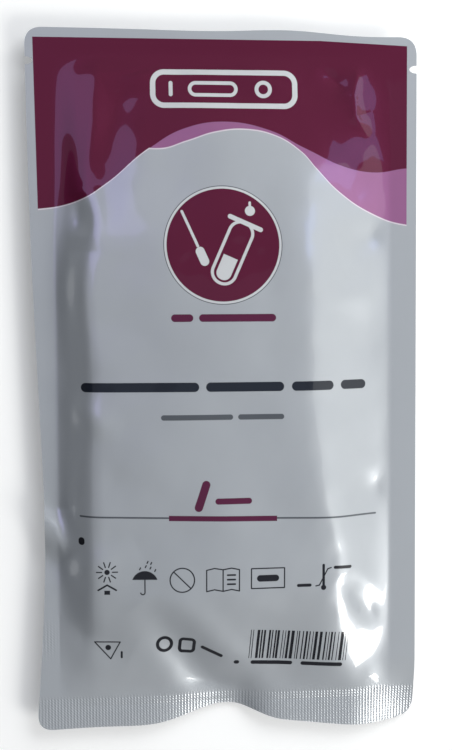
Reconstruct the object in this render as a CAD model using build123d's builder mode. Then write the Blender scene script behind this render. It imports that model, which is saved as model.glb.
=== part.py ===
"""Sealed foil pouch of a single-use test kit.

Two sheets of laminated foil are heat-sealed together all the way round a small kit, so the pouch is one
closed body: a flat seal at each edge and a filled belly between them. It lies on its back sheet.
X runs across the pouch, Y runs from its foot to its printed head, and Z runs up from the table.
All sizes are in millimetres.
"""

import os
from math import cos, exp, hypot, pi, sin

from build123d import *

# Film outline, as it lies when the pouch is full
pouch_width = 110.6
pouch_length = 199.8
corner_radius = 4.0

# Left edge: how far it is pulled in, and how far up from the foot
shoulder_draw, shoulder_place = 1.1, 138.0
waist_draw, waist_place = 3.2, 84.0  # beside the thickest part of the kit
kink_draw, kink_place = 3.9, 60.0  # where the seal has buckled
corner_draw, corner_rise = 1.0, 1.6  # at the foot corners

# Foot edge: how far it stands above its lowest point, and where
left_foot_rise, left_foot_place = 2.2, 23.3  # in from the left edge
flank_rise, flank_reach = 2.8, 21.0  # left of the buckle
buckle_rise = 6.9
slope_rise, slope_reach = 3.0, 11.7  # right of the buckle
heel_rise, heel_reach = 1.8, 19.5
low_place = 16.0  # in from the right edge

# Head edge: how far it falls below its highest point, and where, in from the right edge
corner_fall, corner_fall_place = 1.2, 19.0
high_place = 35.0
middle_fall, middle_fall_place = 0.4, 55.0
left_fall, left_fall_place = 0.3, 76.0

# Seals
seal_thickness = 0.3
seal_height = 5.0  # middle of the seal above the table
side_seal = 7.6
head_seal = 7.0
foot_seal = 8.4

# Tear notches, one in each side seal
notch_depth = 2.1
notch_height = 2.2
notch_drop = 9.2  # below the head edge

# Filled belly
front_rise = 8.6  # crown of the front sheet above the seal
crown_extra = 1.2  # the middle of the belly stands a little higher than its shoulders
back_sag = 5.3  # the back sheet sags below the seal until the table carries it
left_shoulder = 11.0  # run from the left seal to the flat of the belly, beside the foot half of the kit
left_tight_shoulder = 7.5  # and beside its head half, where the film is pulled tight
tight_change = 40.0  # the one turns into the other over this run, from the middle of the pouch
right_shoulder = 27.0
head_shoulder = 52.0
foot_shoulder = 34.0
back_shoulder = 26.0
crease_fade = 7.0  # the belly's creases die out over this run beside the seals

# Buckles of the seals
foot_buckle_depth = 4.3
foot_buckle_x = 2.2
foot_buckle_left = 13.0
foot_buckle_right = 6.5
foot_buckle_run = 24.0
corner_droop = 3.6
corner_droop_run = 20.0

# Spans between the points that carry the sheets: seal, shoulder, belly, shoulder, seal
spans_across = (3, 8, 8, 6, 3)
spans_along = (3, 10, 14, 12, 3)
margin = 3.0  # the sheets reach past the outline before it trims them

left = -pouch_width / 2
right = pouch_width / 2
foot = -pouch_length / 2
head = pouch_length / 2
full_height = 2 * (seal_height + front_rise)

# Creases: start, end, height (negative for a valley) and half width
seal_creases = [
    # buckle of the left seal at the waist
    ((left - 4.0, foot + 70.0), (left + 10.5, foot + 52.0), 1.3, 4.0),
    ((left - 4.0, foot + 59.0), (left + 10.0, foot + 45.0), -1.0, 4.0),
]
belly_creases = [
    # ridge from the head seal down the left shoulder, and the hollow beside it
    ((left + 20.5, head - 2.0), (left + 15.0, head - 60.0), 1.8, 4.6),
    ((left + 27.0, head - 8.0), (left + 21.0, head - 62.0), -1.2, 5.0),
    # bow along the head seal
    ((left + 22.0, head - 16.5), (left + 43.0, head - 6.5), 0.9, 4.0),
    ((left + 43.0, head - 7.5), (left + 78.0, head - 15.0), 0.9, 4.0),
    # puckers across the left shoulder
    ((left + 5.0, foot + 97.0), (left + 26.0, foot + 88.0), 0.9, 4.0),
    ((left + 6.0, foot + 46.0), (left + 30.0, foot + 55.0), 0.9, 4.5),
    ((left + 6.0, foot + 34.0), (left + 28.0, foot + 24.0), -0.8, 4.5),
    # puckers along the right seal
    ((right - 6.0, head - 55.0), (right - 24.0, head - 62.0), -0.8, 4.5),
    ((right - 6.0, head - 72.0), (right - 26.0, head - 76.0), 0.7, 4.5),
    ((right - 6.0, foot + 72.0), (right - 22.0, foot + 68.0), -0.7, 4.5),
    # pinch at the right of the head
    ((right - 19.0, head - 6.0), (right - 17.5, head - 30.0), 1.4, 4.0),
    ((right - 18.5, head - 20.0), (right - 10.0, head - 40.0), -1.3, 4.0),
    # dent that runs from the belly into the foot buckle
    ((left + 31.0, foot + 40.0), (foot_buckle_x + 1.0, foot + 4.0), -2.6, 6.0),
    ((left + 36.0, foot + 44.0), (foot_buckle_x + 12.0, foot + 10.0), 1.5, 5.0),
    # dimple in the right foot corner of the belly
    ((right - 24.0, foot + 46.0), (right - 11.0, foot + 30.0), -1.8, 5.0),
    # long soft ridge down the right of the belly
    ((right - 37.0, head - 45.0), (right - 24.0, foot + 45.0), 0.8, 9.0),
]


def ease(t):
    """Goes from 0 to 1 with no corner at either end."""
    t = min(max(t, 0.0), 1.0)
    return (1 - cos(pi * t)) / 2


def crease(x, y, start, end, height, width):
    """A straight fold of the film that fades out at both ends."""
    run_x, run_y = end[0] - start[0], end[1] - start[1]
    length = hypot(run_x, run_y)
    along = ((x - start[0]) * run_x + (y - start[1]) * run_y) / length**2
    across = ((x - start[0]) * run_y - (y - start[1]) * run_x) / length
    if not 0 < along < 1:
        return 0.0
    return height * sin(pi * along) * exp(-((across / width) ** 2))


def folds(x, y, creases):
    """Height of all the creases of one list at a point."""
    return sum(crease(x, y, *one) for one in creases)


def seal_level(x, y):
    """Height of the middle of the seal, which buckles at the foot and droops at one corner."""
    side = foot_buckle_left if x < foot_buckle_x else foot_buckle_right
    buckle = exp(-(((x - foot_buckle_x) / side) ** 2)) * ease((foot + foot_buckle_run - y) / foot_buckle_run)
    droop = ease((x - right + corner_droop_run) / corner_droop_run)
    droop *= ease((foot + corner_droop_run - y) / corner_droop_run)
    level = seal_height - foot_buckle_depth * buckle - corner_droop * droop
    return level + folds(x, y, seal_creases)


def fullness(x, y, left_run, right_run, head_run, foot_run):
    """Share of the full belly at a point: 0 on the seals and 1 past all four shoulders."""
    across = ease((x - left - side_seal) / left_run) * ease((right - side_seal - x) / right_run)
    along = ease((head - head_seal - y) / head_run) * ease((y - foot - foot_seal) / foot_run)
    return across * along


def back_height(x, y):
    """Height of the back sheet, before the table flattens it."""
    full = fullness(x, y, back_shoulder, back_shoulder, back_shoulder, back_shoulder)
    return seal_level(x, y) - seal_thickness / 2 - back_sag * full


def front_height(x, y):
    """Height of the front sheet, which nowhere comes nearer to the back one than in a seal."""
    tight = ease(y / tight_change)
    left_run = left_shoulder + (left_tight_shoulder - left_shoulder) * tight
    full = fullness(x, y, left_run, right_shoulder, head_shoulder, foot_shoulder)
    crown = crown_extra * (1 - (2 * x / pouch_width) ** 2) * (1 - (2 * y / pouch_length) ** 2)
    loose = fullness(x, y, crease_fade, crease_fade, crease_fade, crease_fade)
    level = seal_level(x, y) + seal_thickness / 2
    height = level + (front_rise + crown) * full + folds(x, y, belly_creases) * loose
    return max(height, back_height(x, y) + seal_thickness)


def stations(stops, spans):
    """Places between the stops, with each stretch cut into its own number of equal spans."""
    places = [stops[0]]
    for start, end, count in zip(stops, stops[1:], spans):
        places += [start + (end - start) * (i + 1) / count for i in range(count)]
    return places


across = stations(
    [left - margin, left + side_seal, left + side_seal + left_shoulder]
    + [right - side_seal - right_shoulder, right - side_seal, right + margin],
    spans_across,
)
along = stations(
    [foot - margin, foot + foot_seal, foot + foot_seal + foot_shoulder]
    + [head - head_seal - head_shoulder, head - head_seal, head + margin],
    spans_along,
)

with BuildPart() as foil_pouch:
    # the two sheets, ruled between the pouch's cross-sections from its foot to its head
    for y in along:
        with BuildSketch(Plane.XZ.offset(-y)):
            with BuildLine():
                front = Spline(*[(x, front_height(x, y)) for x in across])
                back = Spline(*[(x, back_height(x, y)) for x in across])
                Line(front @ 0, back @ 0)
                Line(front @ 1, back @ 1)
            make_face()
    loft(ruled=True)

    # the table flattens what would sag below it
    split(bisect_by=Plane.XY, keep=Keep.TOP)

    # the outline of the film, pulled in where the filling and the buckles draw it
    with BuildSketch() as outline:
        with BuildLine():
            Spline(
                (left, head),
                (left + shoulder_draw, foot + shoulder_place),
                (left + waist_draw, foot + waist_place),
                (left + kink_draw, foot + kink_place),
                (left + corner_draw, foot + corner_rise),
            )
            Spline(
                (left + corner_draw, foot + corner_rise),
                (left + left_foot_place, foot + left_foot_rise),
                (foot_buckle_x - flank_reach, foot + flank_rise),
                (foot_buckle_x, foot + buckle_rise),
                (foot_buckle_x + slope_reach, foot + slope_rise),
                (foot_buckle_x + heel_reach, foot + heel_rise),
                (right - low_place, foot),
                (right, foot + corner_rise),
            )
            Line((right, foot + corner_rise), (right, head - corner_fall))
            Spline(
                (right, head - corner_fall),
                (right - corner_fall_place, head - corner_fall),
                (right - high_place, head),
                (right - middle_fall_place, head - middle_fall),
                (right - left_fall_place, head - left_fall),
                (left, head),
            )
        make_face()
        fillet(outline.vertices(), corner_radius)
        for edge, y in ((left, head - notch_drop), (right, head - corner_fall - notch_drop)):
            with Locations((edge, y)):
                SlotOverall(2 * notch_depth, notch_height, mode=Mode.SUBTRACT)
    extrude(amount=full_height, mode=Mode.INTERSECT)

foil_pouch.part.label = "foil_pouch"

os.makedirs("parts", exist_ok=True)
export_step(foil_pouch.part, "parts/foil_pouch.step")
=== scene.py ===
"""Looks of a sealed foil pouch that holds one test kit, lying on its back sheet.

The pouch's film is one closed mesh: a front sheet and a back sheet that meet at the cut edge. Places and
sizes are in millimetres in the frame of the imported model: X across the pouch, Y from its foot to its
printed head, Z up from the table. They become metres where a mesh or a lamp is made.
"""

from __future__ import annotations

import logging
import math
from dataclasses import dataclass, field
from enum import Enum
from functools import reduce
from typing import Callable, Sequence

import bpy
import numpy as np
from mathutils import Matrix, Vector, kdtree
from mathutils.geometry import delaunay_2d_cdt

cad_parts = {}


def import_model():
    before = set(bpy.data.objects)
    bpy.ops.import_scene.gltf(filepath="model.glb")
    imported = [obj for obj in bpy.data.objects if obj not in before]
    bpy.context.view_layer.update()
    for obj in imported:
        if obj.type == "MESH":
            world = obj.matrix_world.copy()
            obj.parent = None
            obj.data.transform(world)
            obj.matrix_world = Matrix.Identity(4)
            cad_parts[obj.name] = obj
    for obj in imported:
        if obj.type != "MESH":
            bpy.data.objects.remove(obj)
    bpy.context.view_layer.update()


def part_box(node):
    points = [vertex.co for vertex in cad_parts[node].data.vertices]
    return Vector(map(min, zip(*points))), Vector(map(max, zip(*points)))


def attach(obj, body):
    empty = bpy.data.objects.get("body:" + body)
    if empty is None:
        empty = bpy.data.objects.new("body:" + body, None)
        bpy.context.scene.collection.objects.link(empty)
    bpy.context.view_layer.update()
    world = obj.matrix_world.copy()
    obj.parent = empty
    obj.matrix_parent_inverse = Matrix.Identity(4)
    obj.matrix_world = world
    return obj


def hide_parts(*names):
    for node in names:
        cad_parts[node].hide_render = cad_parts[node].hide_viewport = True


log = logging.getLogger("foil_pouch")

MM = 0.001

Point = tuple[float, float]
Point3 = tuple[float, float, float]
Row = tuple[np.ndarray, float, float]


def display(red: int, green: int, blue: int) -> Point3:
    """Linear colour of a colour that is given as it shows on a screen, 0 to 255."""
    parts = (value / 255 for value in (red, green, blue))
    return tuple(p / 12.92 if p < 0.04045 else ((p + 0.055) / 1.055) ** 2.4 for p in parts)


def ease(t: np.ndarray) -> np.ndarray:
    """Goes from 0 to 1 with no corner at either end."""
    return (1 - np.cos(np.pi * np.clip(t, 0, 1))) / 2


def smooth_line(knots: Sequence[Point], at: np.ndarray) -> np.ndarray:
    """Natural cubic spline through some knots.

    Args:
        knots: pairs of a place and the value there.
        at: the places to read.

    Returns:
        The values at those places.
    """
    x, y = np.array(sorted(knots), float).T
    gap = np.diff(x)
    rise = np.diff(y) / gap
    system = np.eye(len(x))
    turn = np.zeros(len(x))
    for i in range(1, len(x) - 1):
        system[i, i - 1 : i + 2] = gap[i - 1], 2 * (gap[i - 1] + gap[i]), gap[i]
        turn[i] = 6 * (rise[i] - rise[i - 1])
    bend = np.linalg.solve(system, turn)
    i = np.clip(np.searchsorted(x, at) - 1, 0, len(x) - 2)
    far = (at - x[i]) / gap[i]
    near = 1 - far
    curved = (near**3 - near) * bend[i] + (far**3 - far) * bend[i + 1]
    return near * y[i] + far * y[i + 1] + curved * gap[i] ** 2 / 6


class Fold(Enum):
    """How a crease turns over: a soft swell, or film bent to a line."""

    SOFT = "soft"
    SHARP = "sharp"


@dataclass(frozen=True)
class Crease:
    """A fold of the film along a line of points, which fades out at both ends."""

    path: tuple[Point, ...]
    height: float
    width: float
    fold: Fold = Fold.SOFT

    def lift(self, x: np.ndarray, y: np.ndarray) -> np.ndarray:
        """How far the crease lifts the film.

        Args:
            x: places across the pouch.
            y: places along the pouch.

        Returns:
            The lift at each place, in millimetres.
        """
        ends = np.array(self.path)
        runs = np.diff(ends, axis=0)
        lengths = np.hypot(*runs.T)
        starts = np.concatenate([[0], np.cumsum(lengths)])
        nearest = np.full(x.shape, np.inf)
        along = np.zeros(x.shape)
        for begin, run, length, passed in zip(ends, runs, lengths, starts):
            t = ((x - begin[0]) * run[0] + (y - begin[1]) * run[1]) / length**2
            t = np.clip(t, 0, 1)
            away = np.hypot(x - begin[0] - t * run[0], y - begin[1] - t * run[1])
            closer = away < nearest
            nearest = np.where(closer, away, nearest)
            along = np.where(closer, passed + t * length, along)
        fade = np.sin(np.pi * along / starts[-1])
        reach = nearest / self.width
        if self.fold is Fold.SOFT:
            return self.height * fade * np.exp(-(reach**2))
        tip = 0.12
        return self.height * fade * np.exp(tip - np.sqrt(reach**2 + tip**2))


@dataclass
class FilmForm:
    """Heights of the pouch's two sheets and the line of its cut edge."""

    left: float
    right: float
    foot: float
    head: float

    corner_reach: float = 5.0
    corner_points: int = 12
    foot_corner_in: float = 1.0
    foot_corner_rise: float = 1.6
    head_corner_fall: float = 1.2
    notch_depth: float = 2.1
    notch_height: float = 2.2
    notch_drop: float = 9.2

    seal_thickness: float = 0.3
    seal_height: float = 5.0
    side_seal: float = 7.6
    head_seal: float = 7.0
    foot_seal: float = 8.4

    front_rise: float = 7.8
    crown_extra: float = 2.4
    back_sag: float = 5.3
    left_shoulder: float = 10.5
    left_tight_shoulder: float = 8.6
    left_soft_share: float = 0.22
    left_soft_shoulder: float = 24.0
    left_head_extra: float = 10.5
    left_head_from: float = 26.0
    left_head_change: float = 36.0
    tight_change: float = 40.0
    right_shoulder: float = 27.0
    right_tight_shoulder: float = 17.0
    right_change: float = 45.0
    right_change_from: float = -10.0
    head_shoulder: float = 52.0
    foot_shoulder: float = 34.0
    back_shoulder: float = 26.0
    crease_fade: float = 7.0
    straight_slope: float = 0.65

    foot_buckle_depth: float = 4.3
    foot_buckle_x: float = 2.2
    foot_buckle_left: float = 13.0
    foot_buckle_right: float = 6.5
    foot_buckle_run: float = 24.0
    corner_droop: float = 3.6
    corner_droop_run: float = 20.0

    knurl_top: float = 11.6
    knurl_fade: float = 1.2
    knurl_pitch: Point = (0.9, 0.8)
    knurl_patch: Point = (4.5, 28.0)
    knurl_patch_reach: Point = (2.2, 4.0)
    knurl_lift: float = 0.10
    knurl_cross_share: float = 0.5
    knurl_side_height: float = 14.0

    ripples: tuple[tuple[float, float], ...] = ((34.0, 0.30), (15.0, 0.10), (6.0, 0.02))
    ripple_ways: int = 4

    def seal_creases(self) -> list[Crease]:
        """Folds that bend both sheets, also in the seals.

        Returns:
            The folds.
        """
        left, foot = self.left, self.foot
        return [
            Crease(((left - 4, foot + 70), (left + 10.5, foot + 52)), 1.3, 4.0),
            Crease(((left - 4, foot + 59), (left + 10, foot + 45)), -1.0, 4.0),
            Crease(
                ((left + 1, foot + 65), (left + 7, foot + 60.5), (left + 9.2, foot + 51)),
                1.1,
                2.2,
                Fold.SHARP,
            ),
            Crease(((left + 1, foot + 66), (left + 13, foot + 65.5)), -0.6, 2.6, Fold.SHARP),
        ]

    def belly_creases(self) -> list[Crease]:
        """Folds of the front sheet alone.

        Returns:
            The folds.
        """
        left, right, foot, head = self.left, self.right, self.foot, self.head
        buckle = self.foot_buckle_x
        soft = [
            (((left + 27, head - 8), (left + 21, head - 62)), -1.0, 5.0),
            (((left + 22, head - 16.5), (left + 43, head - 6.5)), 0.7, 4.0),
            (((left + 43, head - 7.5), (left + 78, head - 15)), 0.7, 4.0),
            (((left + 5, foot + 97), (left + 26, foot + 88)), 0.6, 4.0),
            (((left + 6, foot + 46), (left + 30, foot + 55)), 0.6, 4.5),
            (((left + 6, foot + 34), (left + 28, foot + 24)), -0.8, 4.5),
            (((right - 6, head - 55), (right - 24, head - 62)), -0.8, 4.5),
            (((right - 6, head - 72), (right - 26, head - 76)), 0.7, 4.5),
            (((right - 6, foot + 72), (right - 22, foot + 68)), -0.7, 4.5),
            (((left + 31, foot + 40), (buckle + 1, foot + 4)), -2.3, 6.0),
            (((left + 36, foot + 44), (buckle + 12, foot + 10)), 0.7, 5.5),
            (((right - 23, foot + 46), (right - 10, foot + 29)), -1.3, 3.6),
            (((left + 18.5, head - 44), (left + 19, head - 62)), 0.8, 3.0),
            (((left + 14.8, head - 46), (left + 15.2, head - 58)), -0.8, 2.5),
            (((right - 37, head - 45), (right - 24, foot + 45)), 0.8, 9.0),
        ]
        pinch = (
            (right - 16.5, head - 8),
            (right - 18.5, head - 18),
            (right - 18, head - 24),
            (right - 14, head - 30),
        )
        sharp = [
            (((left + 20.8, head - 1), (left + 18.5, head - 27), (left + 14.5, head - 62)), 1.5, 7.0),
            (pinch, 0.8, 2.4),
            (((right - 28, head - 10), (right - 20, head - 17)), -0.7, 3.0),
            (((left + 23.6, head - 14), (left + 32.8, head - 11.5), (left + 41, head - 8)), -0.5, 1.3),
            (((left + 41, head - 8), (left + 56, head - 10), (left + 75.5, head - 15.5)), -0.45, 1.3),
            (((left + 41, head - 9.5), (left + 45, head - 12), (left + 56, head - 14)), 0.4, 1.3),
        ]
        return [Crease(*one) for one in soft] + [Crease(*one, Fold.SHARP) for one in sharp]

    def level(self, x: np.ndarray, y: np.ndarray) -> np.ndarray:
        """Height of the middle of the seal, which buckles at the foot and droops at one corner.

        Args:
            x: places across the pouch.
            y: places along the pouch.

        Returns:
            The height at each place.
        """
        side = np.where(x < self.foot_buckle_x, self.foot_buckle_left, self.foot_buckle_right)
        buckle = np.exp(-(((x - self.foot_buckle_x) / side) ** 2))
        buckle = buckle * ease((self.foot + self.foot_buckle_run - y) / self.foot_buckle_run)
        run = self.corner_droop_run
        droop = ease((x - self.right + run) / run) * ease((self.foot + run - y) / run)
        level = self.seal_height - self.foot_buckle_depth * buckle - self.corner_droop * droop
        return level + sum(crease.lift(x, y) for crease in self.seal_creases())

    @staticmethod
    def ramp(t: np.ndarray) -> np.ndarray:
        """Goes from 0 to 1 in a straight slope with a corner at its foot and a round shoulder.

        Args:
            t: how far up the slope a place lies, 1 at its top.

        Returns:
            The share of the rise at each place.
        """
        rounding = 0.25
        t = np.clip(t, 0, 1 + rounding)
        return np.where(t < 1 - rounding, t, 1 - (1 + rounding - t) ** 2 / (4 * rounding))

    def fullness(self, x: np.ndarray, y: np.ndarray, runs: Sequence, straight: float = 0.0) -> np.ndarray:
        """Share of the full belly: 0 on the seals and 1 past all four shoulders.

        Args:
            x: places across the pouch.
            y: places along the pouch.
            runs: how far the left, right, head and foot shoulders reach.
            straight: share of the rise that goes up in a straight slope from the seal.

        Returns:
            The share at each place.
        """
        ways = (
            x - self.left - self.side_seal,
            self.right - self.side_seal - x,
            self.head - self.head_seal - y,
            y - self.foot - self.foot_seal,
        )
        shares = []
        for way, run in zip(ways, runs):
            shares.append((1 - straight) * ease(way / run) + straight * self.ramp(way / run))
        return shares[0] * shares[1] * shares[2] * shares[3]

    def back(self, x: np.ndarray, y: np.ndarray) -> np.ndarray:
        """Height of the back sheet, which the table flattens."""
        sag = self.back_sag * self.fullness(x, y, [self.back_shoulder] * 4)
        return np.maximum(self.level(x, y) - self.seal_thickness / 2 - sag, 0)

    def ripple(self, x: np.ndarray, y: np.ndarray) -> np.ndarray:
        """Small uneven swells of the film, the same on each run.

        Args:
            x: places across the pouch.
            y: places along the pouch.

        Returns:
            The lift at each place.
        """
        first_angle, next_angle = 0.7, 2.4
        stretch = 0.17
        way_shift, number_shift = 1.3, 2.1
        lift = np.zeros(x.shape)
        for number, (wave, height) in enumerate(self.ripples):
            for way in range(self.ripple_ways):
                angle = first_angle + next_angle * way + number
                across = (x * math.cos(angle) + y * math.sin(angle)) / (wave * (1 + stretch * way))
                lift += height / 2 * np.sin(2 * np.pi * across + way_shift * way + number_shift * number)
        return lift

    def knurl(self, x: np.ndarray, y: np.ndarray) -> np.ndarray:
        """Small ribs that the sealing jaw pressed into the foot seal and into a patch of the left one.

        Args:
            x: places across the pouch.
            y: places along the pouch.

        Returns:
            The lift at each place.
        """
        across = np.cos(2 * np.pi * (x - self.left) / self.knurl_pitch[0])
        along = np.cos(2 * np.pi * (y - self.foot) / self.knurl_pitch[1])
        zone = ease((self.foot + self.knurl_top - y) / self.knurl_fade)
        patch_x = (x - self.left - self.knurl_patch[0]) / self.knurl_patch_reach[0]
        patch_y = (y - self.foot - self.knurl_patch[1]) / self.knurl_patch_reach[1]
        zone = np.maximum(zone, np.exp(-(patch_x**2 + patch_y**2)))
        rows = 1 - self.knurl_cross_share + self.knurl_cross_share * along
        return self.knurl_lift * zone * across * rows

    def left_run(self, y: np.ndarray) -> np.ndarray:
        """How far the left shoulder reaches: least where the film is pulled tight, most by the head.

        Args:
            y: places along the pouch.

        Returns:
            The reach at each place.
        """
        tight = ease(y / self.tight_change)
        run = self.left_shoulder + (self.left_tight_shoulder - self.left_shoulder) * tight
        return run + self.left_head_extra * ease((y - self.left_head_from) / self.left_head_change)

    def right_run(self, y: np.ndarray) -> np.ndarray:
        """How far the right shoulder reaches, which is less in the foot half."""
        lower = ease((self.right_change_from - y) / self.right_change)
        return self.right_shoulder + (self.right_tight_shoulder - self.right_shoulder) * lower

    def front(self, x: np.ndarray, y: np.ndarray) -> np.ndarray:
        """Height of the front sheet, nowhere nearer to the back one than in a seal.

        Args:
            x: places across the pouch.
            y: places along the pouch.

        Returns:
            The height at each place.
        """
        left_run = self.left_run(y)
        others = [self.right_run(y), self.head_shoulder, self.foot_shoulder]
        full = self.fullness(x, y, [left_run, *others], self.straight_slope)
        soft = self.fullness(x, y, [left_run + self.left_soft_shoulder, *others])
        full = full + self.left_soft_share * (soft - full)
        width, length = self.right - self.left, self.head - self.foot
        crown = self.crown_extra * (1 - (2 * x / width) ** 2) * (1 - (2 * y / length) ** 2)
        loose = self.fullness(x, y, [self.crease_fade] * 4)
        folds = sum(crease.lift(x, y) for crease in self.belly_creases())
        height = self.level(x, y) + self.seal_thickness / 2 + (self.front_rise + crown) * full
        height = height + (folds + self.ripple(x, y)) * loose
        height = np.maximum(height, self.back(x, y) + self.seal_thickness)
        return height + self.knurl(x, y)

    def left_edge(self, y: np.ndarray) -> np.ndarray:
        """Where the left cut edge is, which the filling and the buckle draw in.

        Args:
            y: places along the pouch.

        Returns:
            The edge's place across the pouch.
        """
        corner = (self.foot_corner_rise, self.foot_corner_in)
        draws = ((200.0, 0.0), (138.0, 1.1), (84.0, 3.2), (60.0, 3.9), corner)
        return self.left + smooth_line([(self.foot + up, draw) for up, draw in draws], y)

    def foot_edge(self, x: np.ndarray) -> np.ndarray:
        """Where the foot's cut edge is.

        Args:
            x: places across the pouch.

        Returns:
            The edge's place along the pouch.
        """
        buckle = self.foot_buckle_x
        rises = [
            (self.left + self.foot_corner_in, self.foot_corner_rise),
            (self.left + 23.3, 2.2),
            (buckle - 21, 2.8),
            (buckle, 6.9),
            (buckle + 11.7, 3.0),
            (buckle + 19.5, 1.8),
            (self.right - 16, 0.0),
            (self.right, self.foot_corner_rise),
        ]
        return self.foot + smooth_line(rises, x)

    def head_edge(self, x: np.ndarray) -> np.ndarray:
        """Where the head's cut edge is.

        Args:
            x: places across the pouch.

        Returns:
            The edge's place along the pouch.
        """
        corner = (0.0, self.head_corner_fall)
        falls = (corner, (19.0, 1.2), (35.0, 0.0), (55.0, 0.4), (76.0, 0.3), (111.0, 0.0))
        return self.head - smooth_line([(self.right - way, fall) for way, fall in falls], x)

    def notch(self, side: float, y: float, inward: float) -> list[Point]:
        """Points round a tear notch, from its upper end to its lower one.

        Args:
            side: where the edge is across the pouch.
            y: the notch's middle.
            inward: 1 where the film lies to the right of the edge, and -1 where it lies to the left.

        Returns:
            The points.
        """
        turns = np.linspace(0, np.pi, 13)
        reach = inward * self.notch_depth
        return [(side + reach * math.sin(a), y + self.notch_height / 2 * math.cos(a)) for a in turns]

    def side(
        self, edge_at: Callable, up: np.ndarray, notch_y: float, inward: float, step: float
    ) -> list[Point]:
        """Points of one side of the cut edge, with its tear notch.

        Args:
            edge_at: gives the edge's place across the pouch for a place along it.
            up: places along the pouch, from the foot up.
            notch_y: the notch's middle.
            inward: 1 at the left side, and -1 at the right one.
            step: about how far apart the points lie.

        Returns:
            The points, from the foot up.
        """
        clear = np.abs(up - notch_y) > self.notch_height / 2 + step / 4
        points = [(float(edge_at(np.array(y))), y) for y in up[clear]]
        split = sum(1 for _, y in points if y < notch_y)
        hole = self.notch(float(edge_at(np.array(notch_y))), notch_y, inward)
        return points[:split] + hole[::-1] + points[split:]

    def rounded(self, before: Point, corner: Point, after: Point) -> list[Point]:
        """Points round a corner of the outline.

        Args:
            before: the last point of the side that comes before it.
            corner: where the two sides would meet.
            after: the first point of the side that comes after it.

        Returns:
            The points between the two sides.
        """
        start, middle, end = (np.array(point) for point in (before, corner, after))
        points = []
        for t in np.linspace(0, 1, self.corner_points + 2)[1:-1]:
            near = start * (1 - t) + middle * t
            far = middle * (1 - t) + end * t
            points.append(tuple(near * (1 - t) + far * t))
        return points

    def cut_edge(self, step: float) -> np.ndarray:
        """The whole cut edge, run against the clock from the top of the left side.

        Args:
            step: about how far apart its points lie. At the foot they follow the knurl.

        Returns:
            An array of points.
        """
        reach = self.corner_reach
        rib, tooth = (pitch / 4 for pitch in self.knurl_pitch)
        knurl_end = self.foot + self.knurl_side_height
        low = np.arange(self.foot + self.foot_corner_rise + reach, knurl_end - tooth / 2, tooth)
        high = np.arange(knurl_end, self.head - reach, step)
        up = np.concatenate([low, high])
        notch_y = self.head - self.notch_drop
        left_side = self.side(self.left_edge, up, notch_y, 1, step)
        up = up[up < self.head - self.head_corner_fall - reach]
        right_side = self.side(lambda y: self.right, up, notch_y - self.head_corner_fall, -1, step)
        first = math.ceil((self.foot_corner_in + reach) / rib)
        last = int((self.right - self.left - reach) / rib)
        ribs = self.left + rib * np.arange(first, last)
        foot_side = list(zip(ribs, self.foot_edge(ribs)))
        across = np.arange(self.left + reach, self.right - reach, step)
        head_side = list(zip(across, self.head_edge(across)))
        sides = [left_side[::-1], foot_side, right_side, head_side[::-1]]
        corners = [
            (self.left + self.foot_corner_in, self.foot + self.foot_corner_rise),
            (self.right, self.foot + self.foot_corner_rise),
            (self.right, self.head - self.head_corner_fall),
            (self.left, self.head),
        ]
        loop: list[Point] = []
        for side, corner, following in zip(sides, corners, sides[1:] + sides[:1]):
            loop += side + self.rounded(side[-1], corner, following[0])
        return np.array(loop)


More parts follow.
